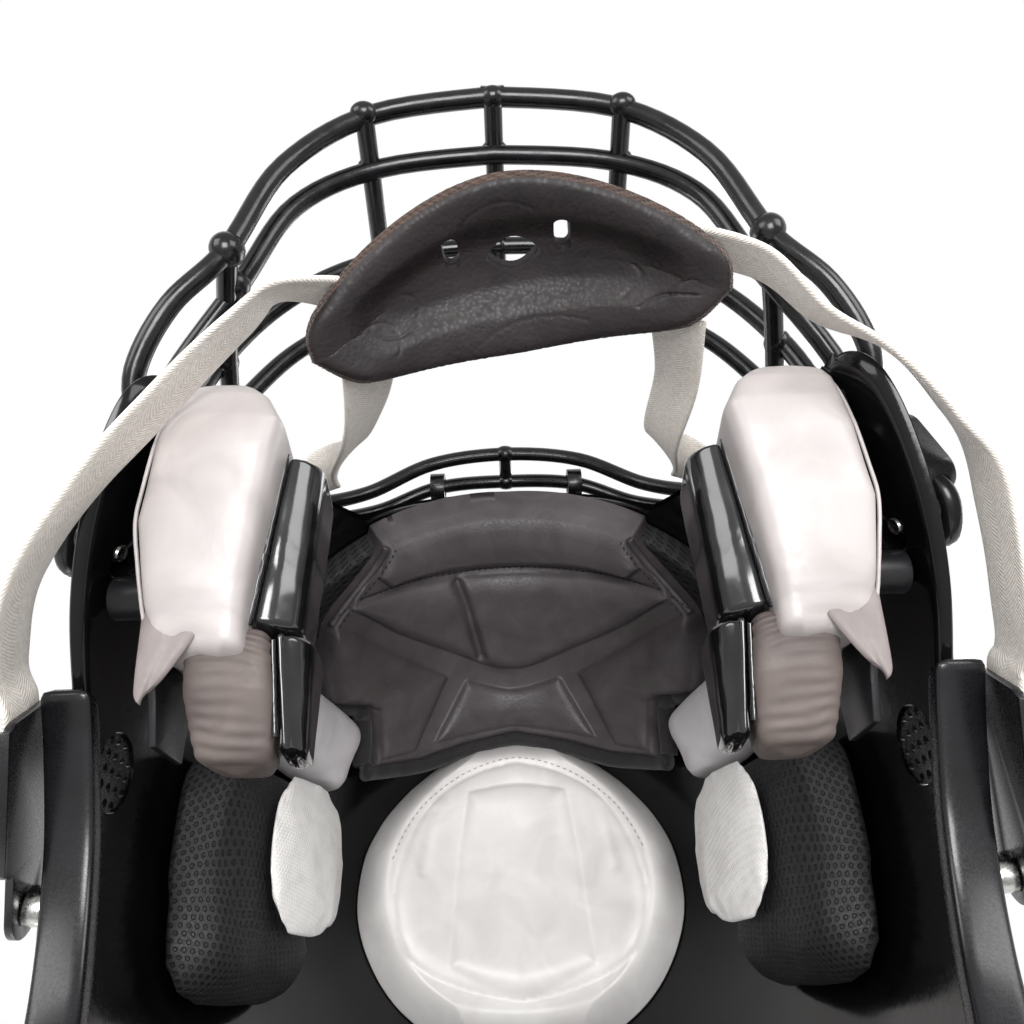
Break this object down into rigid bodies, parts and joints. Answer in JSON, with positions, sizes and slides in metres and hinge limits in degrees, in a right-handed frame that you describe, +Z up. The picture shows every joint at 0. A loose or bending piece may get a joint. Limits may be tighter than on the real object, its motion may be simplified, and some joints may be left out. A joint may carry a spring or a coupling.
{
  "type": "football helmet",
  "caption": "Hard-shell football helmet with a welded wire face guard on clips, padded liner, jaw pads, and a chin cup on webbing straps with cam buckles.",
  "frame": {"origin": "seat of the head: midway between the ear holes, at ear level", "axes": "+Z up, the face looks along -Y, +X is the wearer's left"},
  "size_m": [0.2746, 0.3441, 0.2983],
  "materials": {
    "shell_gloss": "gloss black moulded shell",
    "black_trim": "satin black moulding",
    "bumper_rubber": "soft black rubber",
    "coated_wire": "gloss black coating on steel wire",
    "bright_steel": "bright plated",
    "black_leatherette": "soft black leatherette",
    "white_vinyl": "soft white vinyl",
    "grey_fabric": "pale grey fabric",
    "white_fabric": "white knit",
    "black_mesh": "black spacer mesh",
    "gloss_cushion": "glossy black air cushion",
    "plate_grey": "grey moulded plate",
    "cup_leather": "creased black leather",
    "cup_foam": "black lining on foam",
    "webbing": "off-white webbing"
  },
  "bodies": {
    "helmet": {"shell": "shell_gloss", "ear_screen_left": "black_trim", "ear_screen_right": "black_trim", "side_rails": "black_trim", "brow_bumper": "bumper_rubber", "neck_bumper": "bumper_rubber", "upper_clip_left": "black_trim", "upper_clip_right": "black_trim", "side_receiver_left": "black_trim", "side_receiver_right": "black_trim", "clip_screws": "bright_steel", "front_pad_band": "black_leatherette", "front_pad_lens": "black_leatherette", "front_pad_sides": "black_leatherette", "front_pad_centre": "black_leatherette", "crown_pad": "white_vinyl", "crown_side_pad_left": "grey_fabric", "crown_side_pad_right": "grey_fabric", "mesh_pad_left": "black_mesh", "mesh_pad_right": "black_mesh", "white_oval_left": "white_fabric", "white_oval_right": "white_fabric", "rear_pad_upper": "black_mesh", "rear_pad_lower": "black_mesh", "jaw_plate_left": "plate_grey", "jaw_plate_right": "plate_grey", "jaw_pad_left": "white_vinyl", "jaw_pad_right": "white_vinyl", "jaw_cushion_left": "gloss_cushion", "jaw_cushion_right": "gloss_cushion", "chin_cup": "cup_leather", "chin_liner": "cup_foam", "low_strap_left": "webbing", "low_strap_right": "webbing", "high_strap_left": "webbing", "high_strap_right": "webbing", "snap_studs": "bright_steel", "low_buckle_left": "black_trim", "low_buckle_right": "black_trim", "high_buckle_left": "black_trim", "high_buckle_right": "black_trim", "lever_pins": "bright_steel"},
    "guard": {"face_guard": "coated_wire", "side_clip_left": "black_trim", "side_clip_right": "black_trim"},
    "button_left": {"release_button_left": "black_trim"},
    "low_lever_left": {"low_lever_left": "black_trim"},
    "high_lever_left": {"high_lever_left": "black_trim"},
    "button_right": {"release_button_right": "black_trim"},
    "low_lever_right": {"low_lever_right": "black_trim"},
    "high_lever_right": {"high_lever_right": "black_trim"}
  },
  "joints": [
    {"name": "guard_swing", "type": "hinge", "parent": "helmet", "child": "guard", "pos_m": [0, -0.145, 0.049], "axis": [-1, 0, 0], "range_deg": [0, 60], "deforming": ["low_strap_left", "low_strap_right"]},
    {"name": "release_left", "type": "slide", "parent": "guard", "child": "button_left", "axis": [-0.9526, 0.3, 0.0502], "range_m": [0, 0.0015], "stiffness_N_per_m": 400, "springref_m": -0.0008},
    {"name": "release_right", "type": "slide", "parent": "guard", "child": "button_right", "axis": [0.9526, 0.3, 0.0502], "range_m": [0, 0.0015], "stiffness_N_per_m": 400, "springref_m": -0.0008},
    {"name": "low_lever_left", "type": "hinge", "parent": "helmet", "child": "low_lever_left", "pos_m": [0.13157, 0.00382, -0.05171], "axis": [-0.1136, 0.629, -0.7691], "range_deg": [0, 95]},
    {"name": "low_lever_right", "type": "hinge", "parent": "helmet", "child": "low_lever_right", "pos_m": [-0.13157, 0.00382, -0.05171], "axis": [-0.1136, -0.629, 0.7691], "range_deg": [0, 95]},
    {"name": "high_lever_left", "type": "hinge", "parent": "helmet", "child": "high_lever_left", "pos_m": [0.11946, -0.05505, 0.01773], "axis": [0.089, 0.0877, -0.9922], "range_deg": [0, 95]},
    {"name": "high_lever_right", "type": "hinge", "parent": "helmet", "child": "high_lever_right", "pos_m": [-0.11946, -0.05505, 0.01773], "axis": [0.089, -0.0877, 0.9922], "range_deg": [0, 95]}
  ]
}
